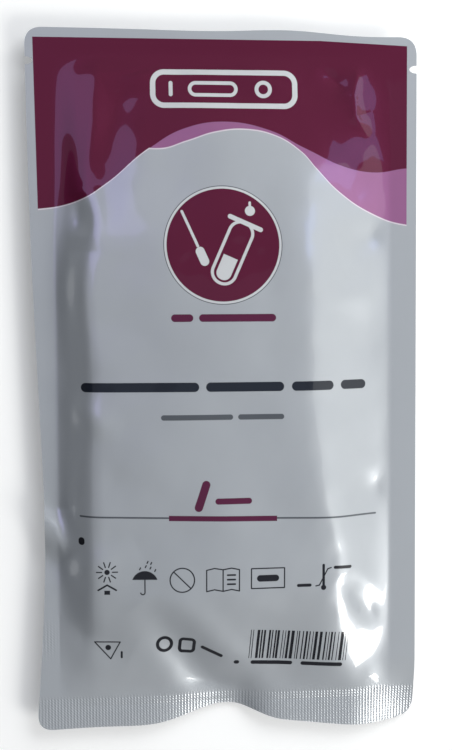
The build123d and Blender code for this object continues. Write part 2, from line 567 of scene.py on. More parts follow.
@dataclass
class SealedFilm:
    """The pouch's film as one closed mesh."""

    form: FilmForm
    step: float = 0.7
    back_step: float = 1.8
    row_share: float = 0.87
    edge_clear: float = 0.45
    knurl_edge_clear: float = 0.5
    knurl_height: float = 13.0
    knurl_patch_box: Point = (4.0, 7.0)
    sharp_angle: float = 55.0

    front_share: float = 0.74
    map_margin: float = 0.004
    rim_width: float = 0.02

    def rows(self, low: float, step: float) -> list[Row]:
        """Rows of points over the pouch, each shifted against the one before it.

        Args:
            low: where the first row is.
            step: how far apart the points lie.

        Returns:
            The rows, each with its points' places across, its place along and its distance from the edge.
        """
        form = self.form
        rows = []
        for number, y in enumerate(np.arange(low, form.head, step * self.row_share)):
            across = np.arange(form.left + step / 2 * (number % 2), form.right, step)
            rows.append((across, y, step * self.edge_clear))
        return rows

    def knurl_rows(self, rows: list[Row], low: float) -> list[Row]:
        """Rows with points on every rib of the knurl.

        Args:
            rows: the rows above the foot seal.
            low: where the first of them is.

        Returns:
            Those rows without their points in the left seal's knurled patch, and the finer rows.
        """
        form = self.form
        rib, tooth = (pitch / 4 for pitch in form.knurl_pitch)
        clear = rib * self.knurl_edge_clear
        patch_width, patch_half = self.knurl_patch_box
        patch_right = form.left + form.knurl_patch[0] + patch_width
        patch_y = form.foot + form.knurl_patch[1]
        ribs = np.arange(form.left, form.right, rib)
        patch_ribs = ribs[ribs < patch_right - rib]
        kept = [(xs[(xs > patch_right) | (abs(y - patch_y) > patch_half)], y, away) for xs, y, away in rows]
        kept += [(ribs, y, clear) for y in np.arange(form.foot, low - tooth, tooth)]
        kept += [(patch_ribs, y, clear) for y in np.arange(patch_y - patch_half, patch_y + patch_half, tooth)]
        return kept

    def inner_points(self, edge: np.ndarray, step: float, knurled: bool) -> np.ndarray:
        """Points that fill the outline.

        Args:
            edge: the cut edge's points.
            step: how far apart the points lie.
            knurled: whether the seals get points on every rib.

        Returns:
            An array of points inside the edge, none of them close to it.
        """
        low = self.form.foot + (self.knurl_height if knurled else 0)
        rows = self.rows(low, step)
        if knurled:
            rows = self.knurl_rows(rows, low)
        tree = kdtree.KDTree(len(edge))
        for number, (x, y) in enumerate(edge):
            tree.insert((x, y, 0), number)
        tree.balance()
        kept = []
        for xs, y, clear in rows:
            kept += [(x, y) for x in xs if tree.find((x, y, 0))[2] > clear]
        return np.array(kept)

    def triangles(
        self, edge: np.ndarray, inner: np.ndarray
    ) -> tuple[np.ndarray, np.ndarray, dict[int, int]]:
        """Fills the cut edge with triangles.

        Args:
            edge: the cut edge's points.
            inner: the points inside it.

        Returns:
            The points, the triangles on them, and where each point of the edge is among the points.
        """
        places = [Vector(p) for p in np.concatenate([edge, inner])]
        loop = list(range(len(edge)))
        found = delaunay_2d_cdt(places, [], [loop], 1, 1e-6, True)
        faces = np.array([corners for corners, inside in zip(found[2], found[5]) if inside])
        used, faces = np.unique(faces, return_inverse=True)
        new_place = {old: new for new, old in enumerate(used)}
        came_from = {old: new_place.get(new) for new, olds in enumerate(found[3]) for old in olds}
        points = np.array([tuple(found[0][i]) for i in used])
        return points, faces.reshape(-1, 3), {i: came_from[i] for i in loop}

    def build(self) -> bpy.types.Object:
        """Makes the film's mesh: front sheet, back sheet and the cut edge that joins them.

        Returns:
            The film's object.
        """
        form = self.form
        edge = form.cut_edge(self.step * 0.8)
        front_at, front_faces, front_rim = self.triangles(edge, self.inner_points(edge, self.step, True))
        back_at, back_faces, back_rim = self.triangles(edge, self.inner_points(edge, self.back_step, False))
        front = np.c_[front_at, form.front(*front_at.T)]
        back = np.c_[back_at, form.back(*back_at.T)]
        shift = len(front)
        after = [(i + 1) % len(edge) for i in range(len(edge))]
        rim = [
            (front_rim[i], back_rim[i] + shift, back_rim[n] + shift, front_rim[n])
            for i, n in enumerate(after)
        ]
        faces = front_faces.tolist() + (back_faces[:, ::-1] + shift).tolist() + rim
        mesh = bpy.data.meshes.new("sealed_film")
        mesh.from_pydata((np.concatenate([front, back]) * MM).tolist(), [], faces)
        mesh.polygons.foreach_set("use_smooth", [True] * len(faces))
        kinds = [0] * len(front_faces) + [1] * (len(back_faces) + len(rim))
        mesh.polygons.foreach_set("material_index", kinds)
        mesh.set_sharp_from_angle(angle=math.radians(self.sharp_angle))
        self.lay_out(mesh, len(front_faces), len(back_faces))
        mesh.validate()
        piece = bpy.data.objects.new("sealed_film", mesh)
        bpy.context.scene.collection.objects.link(piece)
        return piece

    def lay_out(self, mesh: bpy.types.Mesh, fronts: int, backs: int) -> None:
        """Lays the film out flat on one map, with most of its width for the printed front.

        Args:
            mesh: the film's mesh.
            fronts: how many of its first faces are the front sheet.
            backs: how many of the next ones are the back sheet.
        """
        form = self.form
        layer = mesh.uv_layers.new(name="OFBake")
        corners = np.zeros(len(mesh.loops), int)
        mesh.loops.foreach_get("vertex_index", corners)
        places = np.zeros(len(mesh.vertices) * 3)
        mesh.vertices.foreach_get("co", places)
        places = places.reshape(-1, 3)[corners] / MM
        u = (places[:, 0] - form.left) / (form.right - form.left)
        v = (places[:, 1] - form.foot) / (form.head - form.foot)
        margin = self.map_margin
        front_end, back_end = 3 * fronts, 3 * (fronts + backs)
        rim_left = self.front_share + margin
        back_left = rim_left + self.rim_width + margin
        u[:front_end] = margin + u[:front_end] * (self.front_share - 2 * margin)
        u[front_end:back_end] = back_left + u[front_end:back_end] * (1 - margin - back_left)
        quads = (len(u) - back_end) // 4
        steps = np.arange(quads) / quads
        u[back_end:] = rim_left + self.rim_width * np.tile([0, 1, 1, 0], quads)
        v[back_end:] = np.stack([steps, steps, steps + 1 / quads, steps + 1 / quads], 1).ravel()
        v = margin + v * (1 - 2 * margin)
        layer.uv.foreach_set("vector", np.stack([u, v], 1).ravel())


class Wire:
    """A socket of a shader. Python's operators on it add Math or Vector Math nodes."""

    def __init__(self, kit: "NodeKit", socket: bpy.types.NodeSocket) -> None:
        self.kit = kit
        self.socket = socket

    @property
    def is_vector(self) -> bool:
        """Whether the socket carries a vector and not a number."""
        return self.socket.type == "VECTOR"

    def math(self, operation: str, *others: "Operand") -> "Wire":
        """Adds a Math node on numbers or a Vector Math node on vectors.

        Args:
            operation: the node's operation.
            others: the values after this one.

        Returns:
            The node's result.
        """
        inputs = dict(enumerate([self, *others]))
        if self.is_vector:
            node = self.kit.node("ShaderNodeVectorMath", {"operation": operation}, inputs)
            number = operation in ("DOT_PRODUCT", "LENGTH", "DISTANCE")
            return Wire(self.kit, node.outputs["Value" if number else "Vector"])
        node = self.kit.node("ShaderNodeMath", {"operation": operation}, inputs)
        return Wire(self.kit, node.outputs[0])

    def __add__(self, other: "Operand") -> "Wire":
        """This plus another."""
        return self.math("ADD", other)

    def __radd__(self, other: "Operand") -> "Wire":
        """Another plus this."""
        return self.math("ADD", other)

    def __sub__(self, other: "Operand") -> "Wire":
        """This minus another."""
        return self.math("SUBTRACT", other)

    def __rsub__(self, other: float) -> "Wire":
        """A number minus this."""
        return self.math("MULTIPLY_ADD", -1.0, other)

    def __mul__(self, other: "Operand") -> "Wire":
        """This times another. A vector takes a number as its scale.

        Args:
            other: a number, or a wire that carries one.

        Returns:
            The product.
        """
        if self.is_vector:
            node = self.kit.node("ShaderNodeVectorMath", {"operation": "SCALE"}, {0: self, "Scale": other})
            return Wire(self.kit, node.outputs["Vector"])
        return self.math("MULTIPLY", other)

    def __rmul__(self, other: "Operand") -> "Wire":
        """Another times this."""
        return self * other

    def __abs__(self) -> "Wire":
        """This with no sign."""
        return self.math("ABSOLUTE")

    def least(self, *others: "Operand") -> "Wire":
        """The least of this and the others."""
        return reduce(lambda a, b: a.math("MINIMUM", b), others, self)

    def most(self, *others: "Operand") -> "Wire":
        """The most of this and the others."""
        return reduce(lambda a, b: a.math("MAXIMUM", b), others, self)

    def straight(self, gain: float, offset: float) -> "Wire":
        """This times a gain plus an offset."""
        return self.math("MULTIPLY_ADD", gain, offset)

    def clipped(self) -> "Wire":
        """This, kept between 0 and 1. A node's own clamp would be run out of turn and fill the stack."""
        return self.most(0.0).least(1.0)


Operand = Wire | float | tuple


class NodeKit:
    """Adds nodes to one node tree."""

    def __init__(self, tree: bpy.types.NodeTree) -> None:
        """Takes over a tree and empties it."""
        self.tree = tree
        tree.nodes.clear()

    def node(self, kind: str, settings: dict | None = None, inputs: dict | None = None) -> bpy.types.Node:
        """Adds a node.

        Args:
            kind: the node's type.
            settings: its properties. "stops" are a ramp's stops and "points" a curve's points.
            inputs: a value, a socket or a wire for each of its sockets, by name or number.

        Returns:
            The node.
        """
        node = self.tree.nodes.new(kind)
        for name, value in (settings or {}).items():
            if name == "stops":
                self._set_stops(node.color_ramp.elements, value)
            elif name == "points":
                self._set_points(node.mapping, value)
            else:
                setattr(node, name, value)
        for key, value in (inputs or {}).items():
            if isinstance(value, Wire):
                value = value.socket
            if isinstance(value, bpy.types.NodeSocket):
                self.tree.links.new(value, node.inputs[key])
            else:
                node.inputs[key].default_value = value
        return node

    @staticmethod
    def _set_stops(elements: bpy.types.ColorRampElements, stops: Sequence[tuple[float, float]]) -> None:
        """Gives a ramp its stops, each a place and a grey.

        Args:
            elements: the ramp's stops.
            stops: the places and greys, from left to right.
        """
        while len(elements) < len(stops):
            elements.new(1.0)
        for element, (place, grey) in zip(elements, stops):
            element.position = place
            element.color = (grey, grey, grey, grey)

    @staticmethod
    def _set_points(mapping: bpy.types.CurveMapping, points: Sequence[Point]) -> None:
        """Gives a curve its points.

        Args:
            mapping: the curve's node mapping.
            points: the places, from left to right.
        """
        curve = mapping.curves[0]
        while len(curve.points) < len(points):
            curve.points.new(0.5, 0.5)
        for point, place in zip(curve.points, points):
            point.location = place
        mapping.update()

    def wire(self, kind: str, settings: dict | None, inputs: dict | None, output: str | int) -> Wire:
        """Adds a node and returns one of its results."""
        return Wire(self, self.node(kind, settings, inputs).outputs[output])

    def pair(self, x: Operand, y: Operand) -> Wire:
        """A vector in the pouch's plane."""
        return self.wire("ShaderNodeCombineXYZ", None, {"X": x, "Y": y}, "Vector")

    def here(self) -> Wire:
        """The place on the film, in millimetres."""
        return self.wire("ShaderNodeTexCoord", None, None, "Object") * (1 / MM)

    def mix(self, factor: Wire, below: Operand, above: Operand) -> Wire:
        """A colour laid over another one as far as a factor says."""
        return self.wire("ShaderNodeMix", {"data_type": "RGBA"}, {0: factor, 6: below, 7: above}, 2)

    def surface(self, shader: bpy.types.Node, output: str = "ShaderNodeOutputMaterial") -> None:
        """Sends a shader to the tree's output."""
        self.node(output, None, {"Surface": shader.outputs[0]})


def new_material(name: str) -> tuple[bpy.types.Material, NodeKit]:
    """Makes a material with nothing in it.

    Args:
        name: the material's name.
    """
    made = bpy.data.materials.new(name)
    made.use_nodes = True
    return made, NodeKit(made.node_tree)


def flat_mesh(name: str, width: float, depth: float, material: bpy.types.Material) -> bpy.types.Mesh:
    """Makes a flat rectangle round the origin.

    Args:
        name: the mesh's name.
        width: its width in metres.
        depth: its depth in metres.
        material: what it is made of.

    Returns:
        The mesh.
    """
    x, y = width / 2, depth / 2
    mesh = bpy.data.meshes.new(name)
    mesh.from_pydata([(-x, -y, 0), (x, -y, 0), (x, y, 0), (-x, y, 0)], [], [(0, 1, 2, 3)])
    mesh.materials.append(material)
    return mesh


class Drawing:
    """Flat shapes on the film, each given as its distance: below 0 inside the shape, above 0 outside."""

    def __init__(self, kit: NodeKit, place: Wire) -> None:
        """Draws on a plane.

        Args:
            kit: the tree to draw in.
            place: the place on the film, in millimetres.
        """
        self.kit = kit
        self.place = place
        self.x = place.math("DOT_PRODUCT", (1.0, 0.0, 0.0))
        self.y = place.math("DOT_PRODUCT", (0.0, 1.0, 0.0))

    def turned(self, centre: Point, degrees: float) -> "Drawing":
        """The same plane with its origin moved and its axes turned against the clock.

        Args:
            centre: where the new origin is.
            degrees: how far the axes turn.

        Returns:
            A drawing on that plane.
        """
        a = math.radians(degrees)
        away = self.place - (*centre, 0.0)
        x = away.math("DOT_PRODUCT", (math.cos(a), math.sin(a), 0.0))
        y = away.math("DOT_PRODUCT", (-math.sin(a), math.cos(a), 0.0))
        return Drawing(self.kit, self.kit.pair(x, y))

    def disc(self, centre: Point, radius: float) -> Wire:
        """A disc."""
        return self.place.math("DISTANCE", (*centre, 0.0)) - radius

    def ring(self, centre: Point, radius: float, line: float) -> Wire:
        """A circle drawn with a line of some width."""
        return abs(self.disc(centre, radius)) - line / 2

    def stroke(self, start: Point, end: Point, line: float) -> Wire:
        """A straight line with round ends.

        Args:
            start: the middle of one end.
            end: the middle of the other.
            line: its width.

        Returns:
            The distance to the line.
        """
        run = (end[0] - start[0], end[1] - start[1], 0.0)
        length = math.hypot(*run)
        away = self.place - (*start, 0.0)
        along = away.math("DOT_PRODUCT", tuple(r / length**2 for r in run)).clipped()
        inputs = {0: run, "Scale": along}
        nearest = self.kit.wire("ShaderNodeVectorMath", {"operation": "SCALE"}, inputs, "Vector")
        return away.math("DISTANCE", nearest) - line / 2

    def strokes(self, points: Sequence[Point], line: float) -> Wire:
        """A line through some points."""
        return union(*(self.stroke(a, b, line) for a, b in zip(points, points[1:])))

    def box(self, centre: Point, size: Point, rounding: float = 0.0) -> Wire:
        """A rectangle with round corners.

        Args:
            centre: its middle.
            size: its width and height.
            rounding: its corners' radius.

        Returns:
            The distance to the rectangle.
        """
        over_x = abs(self.x - centre[0]) - (size[0] / 2 - rounding)
        over_y = abs(self.y - centre[1]) - (size[1] / 2 - rounding)
        outside = self.kit.pair(over_x.most(0.0), over_y.most(0.0)).math("LENGTH")
        return outside + over_x.most(over_y).least(0.0) - rounding

    def frame(self, centre: Point, size: Point, rounding: float, line: float) -> Wire:
        """The outline of such a rectangle."""
        return abs(self.box(centre, size, rounding)) - line / 2

    def words(self, y: float, spans: Sequence[Point], height: float) -> Wire:
        """A line of plain bars, one for each word that it stands for.

        Args:
            y: the line's middle.
            spans: where each bar starts and ends.
            height: the bars' height.

        Returns:
            The distance to the bars.
        """
        half = height / 2
        return union(*(self.stroke((start + half, y), (end - half, y), height) for start, end in spans))


def union(*distances: Wire) -> Wire:
    """The distance to several shapes."""
    return distances[0].least(*distances[1:])


def within(*distances: Wire) -> Wire:
    """The distance to what lies in all of several shapes."""
    return distances[0].most(*distances[1:])


def cover(distance: Wire, soft: float = 0.14) -> Wire:
    """How much of a place a shape covers, from 0 to 1, with an edge as soft as print has."""
    return distance.straight(-1 / soft, 0.5).clipped()


@dataclass(frozen=True)
class Ink:
    """A colour of the print, and how much of the foil's shine comes through it."""

    colour: Point3
    metallic: float
    roughness: float


@dataclass(frozen=True)
class Palette:
    """The inks of the print."""

    header: Ink = Ink(display(96, 14, 52), 0.3, 0.30)
    band: Ink = Ink(display(156, 100, 144), 0.25, 0.32)
    edge_line: Ink = Ink(display(222, 212, 220), 0.1, 0.35)
    white: Ink = Ink(display(206, 208, 210), 0.1, 0.38)
    plum: Ink = Ink(display(86, 16, 56), 0.1, 0.35)
    navy: Ink = Ink(display(24, 30, 42), 0.1, 0.35)
    slate: Ink = Ink(display(84, 88, 94), 0.1, 0.35)
    black: Ink = Ink(display(18, 18, 26), 0.1, 0.35)


@dataclass
class Print:
    """The layout of the print on the front sheet. All of it is plain shapes, with no lettering."""

    frame_left: float = -53.1
    frame_lean: float = 0.019
    frame_right: float = 52.5
    frame_top: float = 97.2
    top_fall_from: float = 27.4
    top_fall: float = 0.044
    line_width: float = 0.36

    sign_centre: Point = (0.0, 83.2)
    dot_centre: Point = (-41.1, -42.9)
    sun_centre: Point = (-34.1, -51.3)
    umbrella_top: Point = (-23.6, -53.6)
    crossed_ring_centre: Point = (-13.2, -53.8)
    leaflet_centre: Point = (-1.8, -53.9)
    framed_bar_centre: Point = (10.9, -53.8)
    thermometer_centre: Point = (26.8, -54.0)
    triangle_centre: Point = (-34.2, -74.2)
    bold_marks_centre: Point = (-14.9, -73.8)
    bold_marks_turn: float = -4.0
    bars_centre: Point = (20.3, -74.9)
    bars_turn: float = -3.6
    bars_size: Point = (28.6, 9.0)

    upper_wave: tuple[Point, ...] = (
        (-52.2, 49.7), (-40.6, 52.0), (-33.5, 56.2), (-21.3, 66.2), (-10.6, 72.2), (0.4, 73.9),
        (12.4, 71.7), (22.3, 66.8), (34.9, 61.4), (43.0, 60.3), (52.6, 61.6),
    )
    lower_wave: tuple[Point, ...] = (
        (-52.0, 78.0), (-30.0, 68.5), (-18.6, 66.2), (-10.7, 68.4), (-2.5, 71.0), (5.6, 71.8), (13.7, 70.3),
        (21.2, 65.8), (25.8, 60.7), (32.6, 54.1), (41.7, 48.7), (52.4, 45.4),
    )

    emblem: Point = (-1.3, 39.4)
    emblem_radius: float = 15.6

    def wave(self, pen: Drawing, points: Sequence[Point]) -> Wire:
        """Height of a wave over the film's width.

        Args:
            pen: draws on the film's plane.
            points: places that the wave runs through, from left to right.

        Returns:
            The wave's height at each place.
        """
        low_x, span_x, low_y, span_y = -56.0, 112.0, 40.0, 60.0
        places = [(0.0, (points[0][1] - low_y) / span_y)]
        places += [((x - low_x) / span_x, (y - low_y) / span_y) for x, y in points]
        places += [(1.0, (points[-1][1] - low_y) / span_y)]
        share = pen.x.straight(1 / span_x, -low_x / span_x)
        curve = pen.kit.wire("ShaderNodeFloatCurve", {"points": places}, {"Value": share}, "Value")
        return curve.straight(span_y, low_y)

    def header(self, pen: Drawing) -> tuple[Wire, Wire, Wire]:
        """The header's dark field, the paler band under it and the fine line along its lower edge.

        Args:
            pen: draws on the film's plane.

        Returns:
            How much of a place each of them covers.
        """
        lean = pen.y.straight(-self.frame_lean, self.frame_left + self.frame_lean * self.frame_top)
        fall = (pen.x - self.top_fall_from).most(0.0) * self.top_fall
        inside = within(lean - pen.x, pen.x - self.frame_right, pen.y + fall - self.frame_top)
        upper = self.wave(pen, self.upper_wave)
        lower = upper.least(self.wave(pen, self.lower_wave))
        band = within(inside, lower - pen.y)
        dark = within(inside, upper - pen.y)
        line = within(inside, abs(pen.y - lower) - self.line_width / 2)
        return cover(dark), cover(band), cover(line)

    def cassette_sign(self, pen: Drawing) -> Wire:
        """Plain outline of a test cassette in the header: body, window and well.

        Args:
            pen: draws on the film's plane.

        Returns:
            How much of a place it covers.
        """
        x, y = self.sign_centre
        body = pen.frame((x, y), (40.0, 9.4), 3.2, 1.5)
        window = pen.frame((x - 3.2, y), (13.0, 3.4), 1.7, 1.0)
        well = pen.ring((x + 11.0, y), 1.9, 1.1)
        grip = pen.stroke((x - 15.0, y - 1.6), (x - 15.0, y + 1.6), 1.1)
        return cover(union(body, window, well, grip))

    def tube(self, pen: Drawing) -> Wire:
        """The emblem's tilted tube, with its wide mouth and what it holds.

        Args:
            pen: draws on the film's plane.

        Returns:
            The tube's distance.
        """
        tilted = pen.turned((self.emblem[0] + 2.6, self.emblem[1] - 2.2), -24.0)
        wall = tilted.frame((0.0, 0.0), (6.6, 18.0), 3.2, 0.85)
        mouth = tilted.stroke((-4.6, 9.0), (4.6, 9.0), 1.3)
        fill = within(tilted.box((0.0, -2.0), (4.2, 12.0), 2.0), tilted.y + 1.2)
        return union(wall, mouth, fill)

    def swab(self, pen: Drawing) -> Wire:
        """The emblem's swab.

        Args:
            pen: draws on the film's plane.

        Returns:
            The swab's distance.
        """
        tilted = pen.turned((self.emblem[0] - 7.4, self.emblem[1] + 0.6), 24.0)
        stick = tilted.stroke((0.0, -1.0), (0.0, 9.5), 0.75)
        bud = tilted.stroke((0.0, -5.6), (0.0, -2.6), 2.5)
        return union(stick, bud)

    def drop(self, pen: Drawing) -> Wire:
        """The emblem's drop, above the tube's mouth."""
        x, y = self.emblem[0] + 7.6, self.emblem[1] + 9.4
        return union(pen.disc((x, y), 1.4), pen.stroke((x, y + 0.2), (x, y + 2.3), 0.7))

    def emblem_parts(self, pen: Drawing) -> tuple[Wire, Wire, Wire, Wire]:
        """The round emblem: its outer line, white ring, disc and the white drawing on it.

        Args:
            pen: draws on the film's plane.

        Returns:
            How much of a place each of them covers.
        """
        outer = pen.ring(self.emblem, self.emblem_radius + 0.75, 0.22)
        ring = pen.disc(self.emblem, self.emblem_radius + 0.62)
        disc = pen.disc(self.emblem, self.emblem_radius)
        drawing = union(self.tube(pen), self.swab(pen), self.drop(pen))
        return cover(outer), cover(ring), cover(disc), cover(within(drawing, disc))

    def plum_shapes(self, pen: Drawing) -> Wire:
        """Shapes in the header's ink: a line of words, a count and the thick middle of the rule.

        Args:
            pen: draws on the film's plane.

        Returns:
            How much of a place they cover.
        """
        words = pen.words(19.3, [(-15.8, -9.7), (-8.1, 13.3)], 2.1)
        count = pen.stroke((-8.5, -33.4), (-6.4, -27.0), 2.3)
        unit = pen.words(-31.7, [(-3.9, 6.4)], 1.7)
        middle = within(pen.stroke((-17.6, -36.3), (14.3, -36.9), 1.5), abs(pen.x + 1.65) - 15.15)
        return cover(union(words, count, unit, middle))

    def navy_shapes(self, pen: Drawing) -> Wire:
        """The title's line of words."""
        return cover(pen.words(0.2, [(-40.8, -8.2), (-6.3, 15.5), (17.7, 30.0), (32.3, 40.1)], 2.6))

    def slate_shapes(self, pen: Drawing) -> Wire:
        """The second line of words and the thin rule.

        Args:
            pen: draws on the film's plane.

        Returns:
            How much of a place they cover.
        """
        words = pen.words(-8.2, [(-18.8, 1.2), (2.6, 15.5)], 1.5)
        rule = pen.stroke((-41.3, -35.8), (43.2, -37.3), 0.5)
        return cover(union(words, rule))

    def black_shapes(self, pen: Drawing) -> Wire:
        """The date dot, the row of signs, the lower row and the bars.

        Args:
            pen: draws on the film's plane.

        Returns:
            How much of a place they cover.
        """
        dot = pen.turned(self.dot_centre, 0.0).stroke((0.0, -0.25), (0.0, 0.25), 1.7)
        signs = [self.sun(pen), self.umbrella(pen), self.crossed_ring(pen), self.leaflet(pen)]
        signs += [self.framed_bar(pen), self.thermometer(pen), self.triangle(pen), self.bold_marks(pen)]
        return cover(union(dot, *signs, self.bars(pen)))

    def sun(self, pen: Drawing) -> Wire:
        """A sun with ten rays over a roof.

        Args:
            pen: draws on the film's plane.

        Returns:
            The sign's distance.
        """
        line = self.line_width
        at = pen.turned(self.sun_centre, 0.0)
        half_turn = math.radians(18)
        folded = at.y.math("ARCTAN2", at.x).math("WRAP", half_turn, -half_turn)
        away = at.place.math("LENGTH")
        beam = Drawing(pen.kit, pen.kit.pair(away * folded.math("COSINE"), away * folded.math("SINE")))
        rays = beam.stroke((1.5, 0.0), (2.9, 0.0), line)
        roof = at.strokes([(-2.5, -5.2), (0.0, -3.7), (2.5, -5.2)], line * 1.4)
        house = at.box((0.0, -5.9), (1.6, 1.2))
        return union(at.disc((0.0, 0.0), 0.75), rays, roof, house)

    def umbrella(self, pen: Drawing) -> Wire:
        """An umbrella with drops of rain above it.

        Args:
            pen: draws on the film's plane.

        Returns:
            The sign's distance.
        """
        line = self.line_width
        at = pen.turned(self.umbrella_top, 0.0)
        dome = within(at.disc((0.0, -1.2), 3.7), at.y * -1.0)
        pole = at.stroke((0.0, 0.0), (0.0, -3.6), line)
        hook = within(at.ring((-0.6, -3.6), 0.6, line), at.y + 3.6)
        drops = ((-1.2, 3.4), (0.4, 4.0), (1.7, 3.6), (3.0, 2.9), (0.9, 5.2), (1.9, 4.9))
        rain = [at.stroke((x, y), (x - 0.25, y - 0.5), line) for x, y in drops]
        return union(dome, pole, hook, *rain)

    def crossed_ring(self, pen: Drawing) -> Wire:
        """A ring with a bar across it.

        Args:
            pen: draws on the film's plane.

        Returns:
            The sign's distance.
        """
        at = pen.turned(self.crossed_ring_centre, 0.0)
        ring = at.ring((0.0, 0.0), 3.4, self.line_width)
        return union(ring, at.stroke((-2.4, 2.4), (2.4, -2.4), self.line_width))

    def leaflet(self, pen: Drawing) -> Wire:
        """An open leaflet with lines on its right page.

        Args:
            pen: draws on the film's plane.

        Returns:
            The sign's distance.
        """
        line = self.line_width
        at = pen.turned(self.leaflet_centre, 0.0)
        page = [(0.0, 2.9), (2.4, 3.3), (4.6, 2.8), (4.6, -3.3), (2.4, -2.8), (0.0, -3.3)]
        left_page = at.strokes([(-x, y) for x, y in page], line)
        right_page = at.strokes(page, line)
        spine = at.stroke((0.0, 2.9), (0.0, -3.3), line)
        lines = [at.stroke((1.3, y), (3.4, y), 0.5) for y in (1.3, 0.0, -1.3)]
        return union(left_page, right_page, spine, *lines)

    def framed_bar(self, pen: Drawing) -> Wire:
        """A frame round a plain bar.

        Args:
            pen: draws on the film's plane.

        Returns:
            The sign's distance.
        """
        at = pen.turned(self.framed_bar_centre, 0.0)
        frame = at.frame((0.0, 0.0), (9.4, 5.7), 0.1, self.line_width)
        return union(frame, at.stroke((-2.2, 0.0), (2.2, 0.0), 1.9))

    def thermometer(self, pen: Drawing) -> Wire:
        """A thermometer between two limits.

        Args:
            pen: draws on the film's plane.

        Returns:
            The sign's distance.
        """
        at = pen.turned(self.thermometer_centre, 0.0)
        tube = at.stroke((0.0, 3.4), (0.0, -2.6), 0.75)
        bulb = at.disc((0.0, -3.0), 0.75)
        limits = at.strokes([(-2.2, -2.5), (-1.2, -2.3), (1.2, 2.3), (2.2, 2.6)], self.line_width)
        low = at.stroke((-7.2, -2.2), (-3.9, -2.2), 0.9)
        high = at.stroke((3.4, 2.6), (8.0, 2.4), 0.9)
        return union(tube, bulb, limits, low, high)

    def triangle(self, pen: Drawing) -> Wire:
        """A triangle on its tip with a dot in it, and a short stroke beside it.

        Args:
            pen: draws on the film's plane.

        Returns:
            The sign's distance.
        """
        at = pen.turned(self.triangle_centre, 0.0)
        sides = at.strokes([(-3.6, 2.1), (3.6, 2.1), (0.9, -3.0), (-3.6, 2.1)], self.line_width)
        return union(sides, at.disc((0.2, 0.4), 0.8), at.stroke((4.0, -1.0), (4.0, -2.6), 0.6))

    def bold_marks(self, pen: Drawing) -> Wire:
        """A bold ring and a bold square, with a short line beside them.

        Args:
            pen: draws on the film's plane.

        Returns:
            The sign's distance.
        """
        at = pen.turned(self.bold_marks_centre, self.bold_marks_turn)
        ring = at.ring((-3.2, 0.4), 2.0, 0.95)
        square = at.frame((3.2, 0.2), (4.0, 4.0), 0.9, 0.95)
        short = pen.stroke((-7.3, -74.3), (-2.0, -77.0), 1.0)
        return union(ring, square, short)

    @staticmethod
    def bar_spans() -> list[Point]:
        """Where each upright bar starts and ends, as shares of the field's width.

        Returns:
            The spans, from left to right.
        """
        widths = (2, 2, 6, 3, 4, 4, 2, 3, 5, 2, 2, 5, 6, 2, 3, 3, 4, 2, 2, 6, 5, 3, 2, 4, 3, 2, 6, 2, 2)
        gaps = (3, 7, 2, 3, 6, 3, 4, 2, 5, 4, 3, 3, 5, 2, 5, 4, 3, 5, 3, 4, 6, 4, 3, 3, 6, 4, 3, 4, 0)
        total = sum(widths) + sum(gaps)
        spans = []
        place = 0.0
        for bar, gap in zip(widths, gaps):
            spans.append((place / total, (place + bar) / total))
            place += bar + gap
        return spans

    def bars(self, pen: Drawing) -> Wire:
        """A field of upright bars of uneven width, which encode nothing, over a row of short bars.

        Args:
            pen: draws on the film's plane.

        Returns:
            The field's distance.
        """
        at = pen.turned(self.bars_centre, self.bars_turn)
        spans = self.bar_spans()
        half = len(spans) // 2
        share = at.x.straight(1 / self.bars_size[0], 0.5)
        fields = []
        for part in (spans[:half], spans[half:]):
            stops = [(0.0, 0.0)]
            for start, end in part:
                stops += [(start, 1.0), (end, 0.0)]
            node = pen.kit.node("ShaderNodeValToRGB", {"stops": stops}, {"Fac": share})
            node.color_ramp.interpolation = "CONSTANT"
            fields.append(Wire(pen.kit, node.outputs["Alpha"]))
        barred = fields[0].most(fields[1])
        uprights = within(barred.straight(-1.0, 0.5), at.box((0.0, 0.4), self.bars_size))
        row = at.words(-5.4, [(-18.3, -16.7), (-13.4, -1.2), (1.2, 13.4)], 1.2)
        return union(uprights, row)


@dataclass(frozen=True)
class Pearl:
    """Pearl ink on foil, with faint clouds in its colour and shine and a fine grain in its surface."""

    cloud_scale: float
    ink: Ink = Ink(display(178, 182, 187), 0.26, 0.34)
    colour_swing: float = 0.04
    shine_swing: float = 0.06
    grain_scale: float = 0.6
    grain_strength: float = 0.12
    grain_depth: float = 0.0001

    def clouds(self, kit: NodeKit, here: Wire) -> Wire:
        """The clouds, from 0 to 1."""
        inputs = {"Vector": here, "Scale": self.cloud_scale, "Detail": 3.0}
        return kit.wire("ShaderNodeTexNoise", None, inputs, "Fac")

    def colour(self, kit: NodeKit, clouds: Wire) -> Wire:
        """The ink's colour, which darkens and pales with the clouds.

        Args:
            kit: the tree to work in.
            clouds: the clouds.

        Returns:
            The colour.
        """
        tones = (1 - self.colour_swing, 1 + self.colour_swing)
        dark, pale = ((*(part * tone for part in self.ink.colour), 1.0) for tone in tones)
        return kit.mix(clouds, dark, pale)

    def varied(self, clouds: Wire, middle: float) -> Wire:
        """A value of the finish that swings round its middle with the clouds."""
        return clouds.straight(self.shine_swing, middle - self.shine_swing / 2)

    def grain(self, kit: NodeKit, here: Wire) -> Wire:
        """The surface's fine unevenness, as a normal.

        Args:
            kit: the tree to work in.
            here: the place on the film.

        Returns:
            The normal.
        """
        inputs = {"Vector": here, "Scale": self.grain_scale, "Detail": 2.0}
        fine = kit.wire("ShaderNodeTexNoise", None, inputs, "Fac")
        bump = {"Strength": self.grain_strength, "Distance": self.grain_depth, "Height": fine}
        return kit.wire("ShaderNodeBump", None, bump, "Normal")


